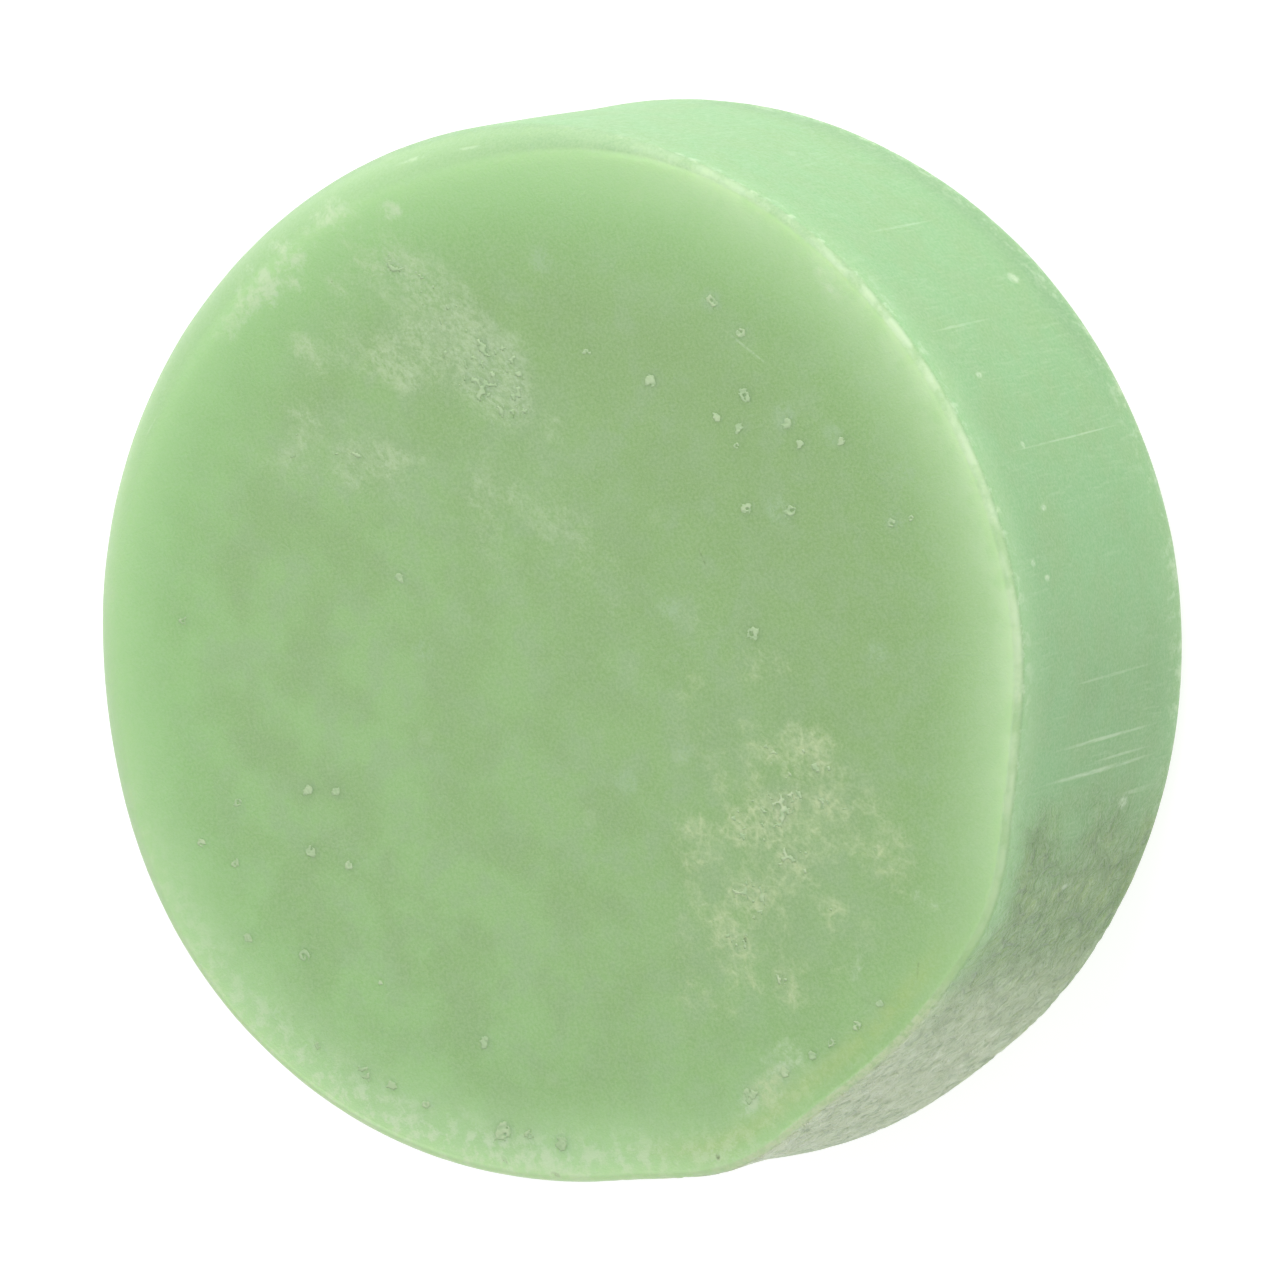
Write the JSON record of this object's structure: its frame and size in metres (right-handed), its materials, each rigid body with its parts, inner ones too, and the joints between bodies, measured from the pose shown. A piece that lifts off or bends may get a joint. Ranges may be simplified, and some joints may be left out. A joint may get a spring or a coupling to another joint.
{
  "type": "shaving soap puck",
  "caption": "Round cast cake of shaving soap with rounded edges, and thin dried crusts and crumbs of soap on its used face; it drops into a shaving bowl, mug or tin.",
  "frame": {"origin": "centre of the puck's back face, which it lies on", "axes": "+Z along the puck's axis, from the back face to the used face; +X towards the streaks of dried film"},
  "size_m": [0.07, 0.07, 0.0253],
  "materials": {
    "soap": "satin",
    "dried_soap": "matte"
  },
  "bodies": {
    "root": {"soap_puck": "soap", "dried_film": "dried_soap", "lather_crust": "dried_soap", "face_crumbs": "dried_soap", "rim_flakes": "dried_soap"}
  },
  "joints": []
}
